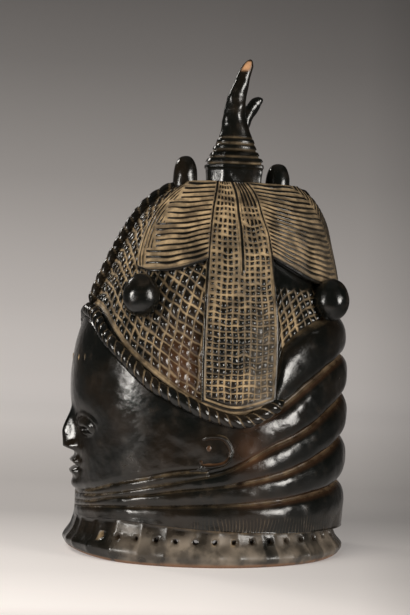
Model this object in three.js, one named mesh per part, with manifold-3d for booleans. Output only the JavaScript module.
// Sowei helmet mask: one carved block of wood, hollow and open below.
// Millimetres, +Z up, the face towards -Y, the mask's own left side towards +X.
// The origin is at the middle of the rim, on the surface the mask stands on.

import * as THREE from 'three'
import { mergeVertices } from 'three/addons/utils/BufferGeometryUtils.js'
import Module from 'manifold-3d'

const wasm = await Module()
wasm.setup()

// Driving dimensions of the block
const CROWN_HEIGHT = 303        // flat crown, on which the horn block stands
const DRAWN_CROWN = 303         // crown height at which the heights of the carving were laid out
const FACE_DEPTH = 112          // vertical axis to the forehead
const NAPE_DEPTH = 117          // vertical axis to the back of the neck coils
const HALF_WIDTH = 103          // vertical axis to the side of the neck coils
const ROUNDNESS = 2.12          // exponent of the head's plan: 2 is an ellipse, more is squarer
const COLLAR_ROUNDNESS = 2      // the same for the collar

// Collar and its row of lacing holes
const COLLAR_FLARE = 9          // how far the rim stands out from the top of the collar
const COLLAR_FLARE_HEIGHT = 8   // where it stands out most
const COLLAR_UNDERCUT = 9       // overhang of the lowest coil at the nape
const RIM_LIFT_FRONT = 3.5      // the worn rim clears the ground before the face
const RIM_LIFT_BACK = 2         // and behind the nape
const HOLE_BORE = 4
const HOLE_HEIGHT = 19
const HOLE_SIDES = 4
const HOLES_A_SIDE = 17
const FIRST_HOLE = 30           // degrees from the middle of the face
const HOLE_STEP = 9             // degrees

// Cavity
const WALL = 9                  // wood left at the collar, the thinnest place
const CROWN_WOOD = 26           // wood left under the crown
const RELIEF_WOOD = 8           // extra wood behind the carved hair

// Carving
const COIL_DEPTH = 11.5         // deepest crease between two coils
const ROPE_RADIUS = 5.2         // plaited rope that edges the hair
const ROPE_STRAND = 8.3         // length of one strand of that rope
const CREST_RADIUS = 4.4        // rope over the middle of the head
const HAIR_GROUND = 4.5         // netted ground, below the outline of the hair
const CREST_PROUD = 3.5         // the crest rope above the outline of the hair
const PANEL_RELIEF = 4
const PANEL_RIDGE = 1.5
const LOBE_RELIEF = 6
const LOBE_RIDGE = 3.5

// Knobs on the hair, lugs and horns on the crown
const KNOB_WIDTH = 29
const KNOB_TALL = 34
const LUG_WIDTH = 20.5
const LUG_TALL = 22
const CREST_CENTRE = 16.7       // middle of the horn block, behind the vertical axis
const LUG_CENTRE = 16.5         // half way between the lugs
const LUG_SPAN = 79             // between the two lugs
const BLOCK_WIDTH = 38          // across the head
const BLOCK_DEPTH = 46          // from front to back
const BLOCK_CHAMFER = 12        // plain facets on its front corners
const BLOCK_RECESS_TALL = 13
const BLOCK_TALL = 37
const HORN_SPACING = 20
const HORN_SINK = 10            // each horn starts this far inside the block
const HORN_LENGTH = 66          // left horn, above its block
const SHORT_HORN_LENGTH = 39    // right horn
const HORN_ROOT = 34            // left horn from front to back, where it leaves the block
const SHORT_HORN_ROOT = 25
const HORN_FLATNESS = 0.68      // width across the head as a share of that

// Ears
const EAR_PLACE = 84            // degrees from the middle of the face
const EAR_HEIGHT = 88
const EAR_TALL = 31
const EAR_REACH = 8             // degrees from its middle to its back edge
const EAR_RIDGE = 3.4

// Face, in the builder's own proportions, as shares of the height from chin to hair
const CHIN_HEIGHT = 50
const DRAWN_CHIN = 50           // chin height at which the creases under it were laid out
const HAIR_POINT = 190
const EYE_LINE = 0.37
const NOSE_LINE = 0.23
const MOUTH_LINE = 0.13
const EYE_OUT = 28              // middle of an eye from the middle of the face
const EYE_WIDTH = 30
const EYE_SLIT = 2.6

const COLUMNS_FRONT = 16        // facets over the face
const COLUMNS_BACK = 29         // facets round the rest
const CAVITY_COLUMNS = 20
const FRONT_REACH = 36          // degrees each side that count as the face
const FRONT_CROWDING = 0.5      // facets crowd towards the nose: 1 spaces them evenly

const radians = degrees => degrees * Math.PI / 180
const mix = (a, b, t) => a + (b - a) * t
const clamp = (x, low, high) => Math.min(high, Math.max(low, x))
const smooth = (x, low, high) => THREE.MathUtils.smoothstep(x, low, high)
const hill = (x, width) => Math.exp(-x * x / (width * width))

// A smooth curve through a few stations, flat beyond its ends
function profile(stations) {
  return x => {
    const last = stations.length - 1
    if (x <= stations[0][0]) return stations[0][1]
    if (x >= stations[last][0]) return stations[last][1]
    const i = stations.findIndex(station => station[0] > x) - 1
    const [x0, y0] = stations[i]
    const [x1, y1] = stations[i + 1]
    const before = stations[Math.max(i - 1, 0)]
    const after = stations[Math.min(i + 2, last)]
    const slope0 = (y1 - before[1]) / (x1 - before[0])
    const slope1 = (after[1] - y0) / (after[0] - x0)
    const span = x1 - x0
    const t = (x - x0) / span
    const t2 = t * t
    const t3 = t2 * t
    return y0 * (2 * t3 - 3 * t2 + 1) + slope0 * span * (t3 - 2 * t2 + t)
      + y1 * (3 * t2 - 2 * t3) + slope1 * span * (t3 - t2)
  }
}

// Heights laid out by degrees round the head, and degrees laid out by height
const drawn = CROWN_HEIGHT / DRAWN_CROWN
const heightsBy = stations => profile(stations.map(([at, z]) => [at, z * drawn]))
const degreesBy = stations => profile(stations.map(([z, degrees]) => [z * drawn, degrees]))

// Depth and width of the head by height, as shares of the driving dimensions
const height = z => z / CROWN_HEIGHT
const faceShare = profile([[0, 0.97], [0.16, 0.945], [0.27, 0.955], [0.41, 1], [0.53, 0.985],
  [0.64, 0.905], [0.71, 0.84], [0.8, 0.73], [0.87, 0.63], [0.92, 0.54], [0.96, 0.43], [1, 0.26]])
const napeShare = profile([[0, 0.98], [0.15, 0.995], [0.37, 1], [0.6, 0.98], [0.68, 0.91],
  [0.77, 0.865], [0.86, 0.825], [0.92, 0.785], [0.965, 0.72], [1, 0.62]])
const sideShare = profile([[0, 0.97], [0.15, 0.99], [0.3, 1], [0.52, 0.985], [0.66, 0.95],
  [0.76, 0.885], [0.86, 0.77], [0.92, 0.64], [0.965, 0.5], [1, 0.36]])

// Radius of an egg-shaped plan at an angle from the middle of the face
function plan(angle, front, back, side, roundness) {
  const along = Math.cos(angle)
  const depth = along > 0 ? front : back
  const sum = (Math.abs(Math.sin(angle)) / side) ** roundness + (Math.abs(along) / depth) ** roundness
  return sum ** (-1 / roundness)
}

const headRadius = (angle, z) => plan(angle, FACE_DEPTH * faceShare(height(z)),
  NAPE_DEPTH * napeShare(height(z)), HALF_WIDTH * sideShare(height(z)), ROUNDNESS)

// Collar: narrow under the coils, flaring to the rim
const COLLAR_FRONT = FACE_DEPTH - 5
const COLLAR_BACK = NAPE_DEPTH - COLLAR_UNDERCUT
const COLLAR_SIDE = HALF_WIDTH - 8
const collarNeck = angle => plan(angle, COLLAR_FRONT, COLLAR_BACK, COLLAR_SIDE, COLLAR_ROUNDNESS)
const rimFoot = degrees =>
  RIM_LIFT_FRONT * (1 - smooth(degrees, 0, 45)) + RIM_LIFT_BACK * smooth(degrees, 135, 180)

// Heights of the creases round the head, by degrees from the middle of the face
const underChin = (CHIN_HEIGHT - DRAWN_CHIN) / drawn
const collarTop = heightsBy([[0, 29], [20, 30], [35, 33], [60, 31], [93, 27], [125, 25], [180, 23]])
const creaseLow = heightsBy([[0, 36 + underChin], [36, 43], [68, 46.5], [97, 49], [118, 52],
  [138, 56], [160, 61], [180, 62]])
const creaseMiddle = heightsBy([[0, 40.5 + underChin], [20, 44 + underChin], [33, 49], [52, 54],
  [68, 59], [87, 63], [106, 69], [118, 74], [130, 81], [141, 88], [157, 96.5], [180, 102]])
const creaseHigh = heightsBy([[0, 46 + underChin], [26, 50 + underChin], [43, 56], [60, 63], [76, 69],
  [86, 73], [94, 79], [101, 86], [110, 94], [119, 100], [128, 107], [140, 118], [158, 131.5], [180, 139]])
const ropeFoot = heightsBy([[0, 190], [16, 185], [30, 168], [40, 156], [54, 135], [63, 126], [75, 116],
  [85, 110], [94, 107.5], [103, 113], [111, 121], [118, 129], [128, 141], [143, 155], [159, 163], [180, 166]])
const ropeTop = heightsBy([[0, 203], [18, 198], [31, 184], [40, 170], [48, 159], [58, 146], [67, 135],
  [76, 126], [88, 119], [97, 119], [105, 127], [109, 140], [113, 165], [122, 180], [135, 190],
  [160, 200], [180, 203]])

// Coils: round in section, thin at the throat, fat at the nape
function coilRelief(t, thickness) {
  const deep = Math.min(COIL_DEPTH, 0.32 * thickness)
  const across = clamp(2 * t - 1, -1, 1)
  return deep * ((1 - 0.97 * Math.abs(across) ** 2.5) ** 0.45 - 1)
}

// Face: relief by distance sideways and by share of the height from chin to hair
function faceRelief(x, z) {
  const tall = HAIR_POINT - CHIN_HEIGHT
  const side = Math.abs(x)
  const eye = z - (CHIN_HEIGHT + EYE_LINE * tall)
  const nose = z - (CHIN_HEIGHT + NOSE_LINE * tall)
  const mouth = z - (CHIN_HEIGHT + MOUTH_LINE * tall)
  const bridge = smooth(nose, -4, 3) * (1 - smooth(nose, 10, 34))
  let out = 11 * bridge * hill(x, mix(9, 5.5, clamp(nose / 22, 0, 1)))
  out += 3.5 * hill(side - 8, 4.5) * hill(nose - 1, 5)
  out -= 4 * hill(side - EYE_OUT, 17) * hill(eye, 13)
  out += 2 * hill(side - EYE_OUT, 18) * hill(eye - 15 + side * 0.1, 5)
  out += 5 * hill(x, 13) * hill(mouth - 4, 3.6)
  out += 5 * hill(x, 12) * hill(mouth + 4, 3.6)
  out -= 1.5 * hill(x, 14) * hill(mouth, 1.6)
  out += 4 * hill(x, 15) * hill(z - CHIN_HEIGHT - 3, 7)
  return out
}

// Rows of the outer surface, from the rim up: each gives a height and a radius at an angle
function outerRows() {
  const rows = []
  const add = (heightAt, radiusAt) => rows.push({ heightAt, radiusAt })
  add(rimFoot, angle => collarNeck(angle) + 0.45 * COLLAR_FLARE)
  add(() => COLLAR_FLARE_HEIGHT, angle => collarNeck(angle) + COLLAR_FLARE)
  add(degrees => mix(COLLAR_FLARE_HEIGHT, collarTop(degrees), 0.5),
    angle => collarNeck(angle) + 0.35 * COLLAR_FLARE)
  add(collarTop, collarNeck)
  const band = (low, high, stations, relief) => {
    for (const t of stations) {
      add(degrees => mix(low(degrees), high(degrees), t), (angle, degrees, z) =>
        headRadius(angle, z) + relief(t, high(degrees) - low(degrees), angle, degrees, z))
    }
  }
  const lowCoil = (t, thickness) => coilRelief(Math.max(t, 0.35), thickness)
  band(collarTop, creaseLow, [0.02, 0.3, 0.65, 0.88], lowCoil)
  band(creaseLow, creaseMiddle, [0, 0.16, 0.5, 0.84], coilRelief)
  band(creaseMiddle, creaseHigh, [0, 0.16, 0.5, 0.84], coilRelief)
  band(creaseHigh, ropeFoot, [0, 0.04, 0.085, 0.125, 0.16, 0.2, 0.25, 0.3, 0.36, 0.42,
    0.56, 0.76, 0.97], (t, thickness, angle, degrees, z) => {
    const toFace = 1 - smooth(degrees, 30, 45)
    const cheek = smooth(degrees, 45, 75)
    const nape = smooth(degrees, 96, 118)
    const neckCrease = 2.5 * hill(t, 0.035) * (1 - nape)
    const x = headRadius(angle, z) * Math.sin(angle)
    const coil = coilRelief(t, Math.min(thickness, 26))
    return toFace * faceRelief(x, z) - neckCrease - 1.5 * cheek * (1 - nape) + nape * coil
  })
  band(ropeFoot, ropeTop, [0, 0.2, 0.5, 0.8], (t, thickness, angle, degrees) =>
    mix(-2, coilRelief(t, thickness), smooth(degrees, 104, 114)))
  const crown = () => CROWN_HEIGHT
  band(ropeTop, crown, [0, 0.28, 0.55, 0.77, 0.92, 1], () => -HAIR_GROUND)
  add(crown, angle => 0.55 * headRadius(angle, CROWN_HEIGHT))
  return rows
}

// Angles of the columns, closer together over the face
function columnAngles() {
  const angles = []
  for (let i = 0; i < COLUMNS_FRONT; i++) {
    const u = mix(-1, 1, i / COLUMNS_FRONT)
    angles.push(FRONT_REACH * mix(u ** 3, u, FRONT_CROWDING))
  }
  for (let i = 0; i <= COLUMNS_BACK; i++) {
    angles.push(mix(FRONT_REACH, 360 - FRONT_REACH, i / COLUMNS_BACK))
  }
  return angles
}

// A closed turned body whose rings are then moved to their heights and radii
function ringBody(rows, angles) {
  const points = [new THREE.Vector2(0, 0)]
  rows.forEach((row, i) => points.push(new THREE.Vector2(1, i)))
  points.push(new THREE.Vector2(0, rows.length - 1))
  const geometry = new THREE.LatheGeometry(points, angles.length - 1)
  const position = geometry.attributes.position
  for (let k = 0; k < position.count; k++) {
    const column = Math.floor(k / points.length)
    const station = k % points.length
    const degrees = angles[column]
    const angle = radians(degrees)
    const away = Math.abs(degrees > 180 ? degrees - 360 : degrees)
    const row = rows[clamp(station - 1, 0, rows.length - 1)]
    const z = row.heightAt(away)
    const radius = station === 0 || station === points.length - 1 ? 0 : row.radiusAt(angle, away, z)
    position.setXYZ(k, radius * Math.sin(angle), -radius * Math.cos(angle), z)
  }
  return geometry
}

// Solids from closed geometries
function solid(geometry) {
  const bare = geometry.index ? geometry.toNonIndexed() : geometry.clone()
  bare.deleteAttribute('normal')
  bare.deleteAttribute('uv')
  const merged = mergeVertices(bare, 1e-4)
  const source = merged.index.array
  const corners = []
  for (let i = 0; i < source.length; i += 3) {
    const [a, b, c] = [source[i], source[i + 1], source[i + 2]]
    if (a !== b && b !== c && c !== a) corners.push(a, b, c)
  }
  const vertProperties = Float32Array.from(merged.attributes.position.array)
  return new wasm.Manifold(new wasm.Mesh({ numProp: 3, vertProperties, triVerts: Uint32Array.from(corners) }))
}

// Head without its applied carving
const head = solid(ringBody(outerRows(), columnAngles()))

// Cavity: straight up from the rim, then a dome under the hair
function cavityRows() {
  const top = CROWN_HEIGHT - CROWN_WOOD
  const straight = angle => collarNeck(angle) - WALL
  const rows = [{ heightAt: () => -10, radiusAt: straight }]
  for (const t of [0, 0.35, 0.6, 0.78, 0.9, 0.97, 1]) {
    const z = mix(0, top, t)
    rows.push({
      heightAt: () => z,
      radiusAt: angle => Math.min(straight(angle), headRadius(angle, z) - WALL - RELIEF_WOOD),
    })
  }
  return rows
}
const cavityAngles = Array.from({ length: CAVITY_COLUMNS + 1 }, (_, i) => i * 360 / CAVITY_COLUMNS)
const cavity = solid(ringBody(cavityRows(), cavityAngles))

// A place on the hair: degrees round, height, and how far it stands proud
function onHead(degrees, z, proud) {
  const angle = radians(degrees)
  const radius = headRadius(angle, z) + proud
  return new THREE.Vector3(radius * Math.sin(angle), -radius * Math.cos(angle), z)
}

// A closed slab laid on the head: place(s, t) gives degrees and height, proud(s, t) its relief
function slab(place, proud, across, up, sunk) {
  const geometry = new THREE.BoxGeometry(1, 1, 1, across.length - 1, up.length - 1, 1)
  const position = geometry.attributes.position
  for (let k = 0; k < position.count; k++) {
    const s = across[Math.round((position.getX(k) + 0.5) * (across.length - 1))]
    const t = up[Math.round((position.getY(k) + 0.5) * (up.length - 1))]
    const [degrees, z] = place(s, t)
    const point = onHead(degrees, z, position.getZ(k) > 0 ? proud(s, t) : -sunk)
    position.setXYZ(k, point.x, point.y, point.z)
  }
  return geometry
}

const sunk = HAIR_GROUND + 3    // depth to which laid-on carving runs into the head

// Netted panel down each side
const panelFront = degreesBy([[118, 76], [150, 75.5], [225, 76], [255, 76.5], [281, 78], [303, 82]])
const panelBack = degreesBy([[118, 109], [172, 110.5], [213, 111], [248, 112], [276, 113.5], [303, 121]])
const panelFoot = heightsBy([[0, 126], [0.45, 119], [1, 127]])
function panelPlace(s, t) {
  const z = mix(panelFoot(s), CROWN_HEIGHT - 1, t)
  return [mix(panelFront(z), panelBack(z), s), z]
}
const panel = slab(panelPlace,
  s => PANEL_RELIEF - HAIR_GROUND + (s < 0.09 || s > 0.91 ? PANEL_RIDGE : 0),
  [0, 0.08, 0.12, 0.5, 0.88, 0.92, 1], [0, 0.25, 0.5, 0.7, 0.86, 0.95, 1], sunk)

// Leaf-shaped lobes of plaited hair in front of and behind the panel
const lobeFrontEdge = degreesBy([[228, 43], [243, 38], [264, 35], [286, 37], [303, 40]])
const lobeFrontFoot = heightsBy([[0, 230], [0.25, 227], [0.6, 229], [1, 237]])
const frontLobe = slab((s, t) => {
  const z = mix(lobeFrontFoot(s), CROWN_HEIGHT - 0.5, t)
  return [mix(lobeFrontEdge(z), panelFront(z) + 1, s), z]
}, (s, t) => LOBE_RELIEF - HAIR_GROUND + LOBE_RIDGE * hill(s - 0.28, 0.3) * (1 - 0.7 * t),
[0, 0.28, 0.6, 1], [0, 0.25, 0.5, 0.75, 0.93, 1], sunk)

const lobeBackEdge = degreesBy([[222, 166], [250, 167], [280, 168], [303, 168]])
const lobeBackFoot = heightsBy([[0, 241], [0.18, 233], [0.4, 224], [0.7, 219], [1, 224]])
const backLobe = slab((s, t) => {
  const z = mix(lobeBackFoot(s), CROWN_HEIGHT - 0.5, t)
  return [mix(panelBack(z) - 1, lobeBackEdge(z), s), z]
}, (s, t) => LOBE_RELIEF - HAIR_GROUND + LOBE_RIDGE * hill(s - 0.74, 0.28) * (1 - 0.7 * t),
[0, 0.37, 0.74, 1], [0, 0.25, 0.5, 0.75, 0.93, 1], sunk)

// A rope laid along a list of places: its strands swell and slant round it
const DOME_START = 220 * drawn  // above it the surface turns over the head
function rope(path, radius, strand, sides, waist) {
  const steps = Math.max(8, Math.round(path.getLength() / strand))
  const frames = path.getSpacedPoints(steps)
  const points = []
  const shape = new THREE.CylinderGeometry(1, 1, 1, sides, steps)
  const position = shape.attributes.position
  const forward = new THREE.Vector3()
  for (let k = 0; k < position.count; k++) {
    const i = Math.round((position.getY(k) + 0.5) * steps)
    const here = frames[i]
    forward.subVectors(frames[Math.min(i + 1, steps)], frames[Math.max(i - 1, 0)]).normalize()
    const overDome = 0.6 * Math.max(0, here.z - DOME_START)
    const outward = new THREE.Vector3(here.x, here.y, overDome).normalize()
    const sideways = new THREE.Vector3().crossVectors(forward, outward).normalize()
    outward.crossVectors(sideways, forward).normalize()
    const swell = radius * (i % 2 === 0 ? 1 : waist)
    const x = position.getX(k) * swell
    const z = position.getZ(k) * swell
    points.push(here.clone().addScaledVector(sideways, x).addScaledVector(outward, z))
  }
  points.forEach((point, k) => position.setXYZ(k, point.x, point.y, point.z))
  return shape
}

const ROPE_END = 112
const hairlinePoints = []
for (let degrees = -ROPE_END; degrees <= ROPE_END; degrees += ROPE_END / 14) {
  const away = Math.abs(degrees)
  const z = 0.5 * (ropeFoot(away) + Math.min(ropeTop(away), ropeFoot(away) + 12))
  hairlinePoints.push(onHead(degrees, z, -1.5))
}
const hairline = rope(new THREE.CatmullRomCurve3(hairlinePoints), ROPE_RADIUS, ROPE_STRAND, 5, 0.78)

function crestRope(degrees, low, high) {
  const places = []
  for (let i = 0; i <= 10; i++) {
    const z = mix(low, high, Math.sin(i / 10 * Math.PI / 2))
    places.push(onHead(degrees, z, CREST_PROUD - CREST_RADIUS))
  }
  return rope(new THREE.CatmullRomCurve3(places), CREST_RADIUS, ROPE_STRAND, 5, 0.78)
}
const frontCrest = crestRope(0, ropeTop(0) - 3, CROWN_HEIGHT - 1)
const backCrest = crestRope(180, ropeTop(180) - 5, CROWN_HEIGHT - 1)

// Egg-shaped knobs standing on the hair
function knob(degrees, z, proud) {
  const geometry = new THREE.SphereGeometry(0.5, 8, 6)
  geometry.rotateX(Math.PI / 2)
  geometry.scale(KNOB_WIDTH, KNOB_WIDTH, KNOB_TALL)
  geometry.rotateZ(radians(degrees))
  const centre = onHead(degrees, z, proud)
  geometry.translate(centre.x, centre.y, centre.z)
  return geometry
}
const FRONT_KNOB = [48, 208 * drawn, 6]
const BACK_KNOB = [141, 209 * drawn, 6]

// Round-topped lugs in front of and behind the horn block
function lug(y, tall) {
  const geometry = new THREE.SphereGeometry(0.5, 8, 6)
  geometry.rotateX(Math.PI / 2)
  geometry.scale(LUG_WIDTH, LUG_WIDTH, 2 * tall)
  geometry.translate(0, y, CROWN_HEIGHT)
  return geometry
}
const frontLug = lug(LUG_CENTRE - LUG_SPAN / 2, LUG_TALL)
const backLug = lug(LUG_CENTRE + LUG_SPAN / 2, LUG_TALL - 3)

// Stepped block that carries the horns: a plain recess, four ridges, then a taper into the horns.
// Its plan is a rectangle with its two front corners cut off.
const RIDGES = 4
const RIDGE_PITCH = 5
const blockShare = profile([[0, 1], [17, 1], [25, 0.83], [33, 0.69], [40, 0.6]])
function hornBlock() {
  const corners = [
    [BLOCK_WIDTH / 2 - BLOCK_CHAMFER, -BLOCK_DEPTH / 2],
    [BLOCK_WIDTH / 2, -BLOCK_DEPTH / 2 + BLOCK_CHAMFER],
    [BLOCK_WIDTH / 2, BLOCK_DEPTH / 2],
  ]
  const ring = [...corners, ...corners.map(([x, y]) => [-x, y]).reverse(), corners[0]]
  const angles = ring.map(([x, y]) => (360 + THREE.MathUtils.radToDeg(Math.atan2(x, -y))) % 360)
  angles[angles.length - 1] += 360
  const reachAt = degrees => Math.hypot(...ring[angles.indexOf(degrees)])
  const rows = []
  const add = (above, inset) => rows.push({
    heightAt: () => CROWN_HEIGHT + above,
    radiusAt: angle => blockShare(above) * (reachAt(nearest(angle)) - inset),
  })
  const nearest = angle => angles.find(degrees => Math.abs(radians(degrees) - angle) < 1e-6)
  add(-8, 1)
  add(BLOCK_RECESS_TALL, 1)
  for (let i = 0; i < RIDGES; i++) {
    const foot = BLOCK_RECESS_TALL + 1 + i * RIDGE_PITCH
    add(foot, 0)
    add(foot + 3, 0)
    add(foot + 4, 2)
  }
  add(BLOCK_TALL, 2)
  const geometry = ringBody(rows, angles)
  geometry.translate(0, CREST_CENTRE, 0)
  return geometry
}

// A horn: level ovals that lean back and grow thinner, by share of its length
function horn(side, root, length, lean, thick) {
  const shape = new THREE.CylinderGeometry(1, 1, 1, 8, 9)
  const position = shape.attributes.position
  for (let k = 0; k < position.count; k++) {
    const t = 0.5 - position.getY(k)
    const reach = root / 2 * thick(t)
    const x = side * (HORN_SPACING / 2 + 0.05 * t * length) + position.getX(k) * reach * HORN_FLATNESS
    const y = CREST_CENTRE + lean(t) * length + position.getZ(k) * reach
    position.setXYZ(k, x, y, CROWN_HEIGHT + BLOCK_TALL - HORN_SINK + t * (length + HORN_SINK))
  }
  return shape
}
const leftHorn = horn(1, HORN_ROOT, HORN_LENGTH,
  profile([[0, 0.005], [0.2, -0.01], [0.33, -0.025], [0.46, -0.025], [0.59, -0.005],
    [0.72, 0.035], [0.83, 0.075], [0.92, 0.112], [1, 0.145]]),
  profile([[0, 1], [0.08, 0.93], [0.2, 0.745], [0.33, 0.595], [0.46, 0.52], [0.59, 0.435],
    [0.72, 0.395], [0.83, 0.35], [0.92, 0.27], [1, 0.1]]))
const rightHorn = horn(-1, SHORT_HORN_ROOT, SHORT_HORN_LENGTH,
  profile([[0, 0.05], [0.3, 0.13], [0.5, 0.24], [0.75, 0.42], [0.9, 0.54], [1, 0.6]]),
  profile([[0, 1], [0.3, 0.72], [0.6, 0.56], [0.85, 0.5], [0.95, 0.4], [1, 0.22]]))

// A place on the face, by distance sideways
function onFace(x, z, proud) {
  let angle = Math.asin(x / headRadius(0, z))
  for (let i = 0; i < 4; i++) angle = Math.asin(x / headRadius(angle, z))
  return onHead(THREE.MathUtils.radToDeg(angle), z, proud)
}

// Eye: a full lid, with a narrow slit below it right through the wood
const EYE_HEIGHT = CHIN_HEIGHT + EYE_LINE * (HAIR_POINT - CHIN_HEIGHT)
const EYE_TURN = radians(16)
function eyeLid() {
  const geometry = new THREE.SphereGeometry(0.5, 8, 6)
  geometry.rotateX(Math.PI / 2)
  geometry.scale(EYE_WIDTH, 12, 13)
  geometry.rotateZ(EYE_TURN)
  const centre = onFace(EYE_OUT, EYE_HEIGHT, -3.5)
  geometry.translate(centre.x, centre.y, centre.z)
  return geometry
}
function eyeSlit() {
  const geometry = new THREE.BoxGeometry(0.66 * EYE_WIDTH, 60, EYE_SLIT)
  geometry.rotateZ(EYE_TURN)
  const centre = onFace(EYE_OUT, EYE_HEIGHT - 2, 0)
  geometry.translate(centre.x, centre.y, centre.z)
  return geometry
}

// Ear: a thick C, open towards the face
function ear() {
  const points = []
  for (let turn = 150; turn >= -130; turn -= 40) {
    const angle = radians(turn)
    const degrees = EAR_PLACE + EAR_REACH * Math.cos(angle)
    points.push(onHead(degrees, EAR_HEIGHT + EAR_TALL / 2 * Math.sin(angle), 0))
  }
  return rope(new THREE.CatmullRomCurve3(points), EAR_RIDGE, 3.6 * EAR_RIDGE, 5, 1)
}

const mirrored = geometry => {
  const copy = geometry.clone()
  copy.scale(-1, 1, 1)
  const index = copy.index
  for (let i = 0; i < index.count; i += 3) {
    const first = index.getX(i)
    index.setX(i, index.getX(i + 1))
    index.setX(i + 1, first)
  }
  return copy
}

const applied = [hairline, frontCrest, backCrest, frontLug, backLug, hornBlock(), leftHorn, rightHorn]
const pairs = [panel, frontLobe, backLobe, knob(...FRONT_KNOB), knob(...BACK_KNOB), eyeLid(), ear()]
pairs.forEach(geometry => applied.push(geometry, mirrored(geometry)))

let mask = head
for (const geometry of applied) mask = mask.add(solid(geometry))
mask = mask.subtract(cavity)
for (const slit of [eyeSlit(), mirrored(eyeSlit())]) mask = mask.subtract(solid(slit))

// Lacing holes through the collar
for (const side of [1, -1]) {
  for (let i = 0; i < HOLES_A_SIDE; i++) {
    const degrees = side * (FIRST_HOLE + i * HOLE_STEP)
    const bore = new THREE.CylinderGeometry(HOLE_BORE / 2, HOLE_BORE / 2, 4 * WALL, HOLE_SIDES)
    bore.translate(0, -collarNeck(radians(degrees)), 0)
    bore.rotateZ(radians(degrees))
    bore.translate(0, 0, HOLE_HEIGHT)
    mask = mask.subtract(solid(bore))
  }
}

const result = mask.getMesh()
const geometry = new THREE.BufferGeometry()
geometry.setAttribute('position', new THREE.BufferAttribute(Float32Array.from(result.vertProperties), 3))
geometry.setIndex(new THREE.BufferAttribute(Uint32Array.from(result.triVerts), 1))
geometry.computeVertexNormals()

// The origin is under the middle of the finished mask
geometry.computeBoundingBox()
geometry.translate(0, -(geometry.boundingBox.min.y + geometry.boundingBox.max.y) / 2, 0)

const darkWood = new THREE.MeshStandardMaterial({ color: 0x1d1712, roughness: 0.42, metalness: 0 })
const carved = new THREE.Mesh(geometry, darkWood)
carved.name = 'sowei_mask'

const group = new THREE.Group()
group.add(carved)
export default group
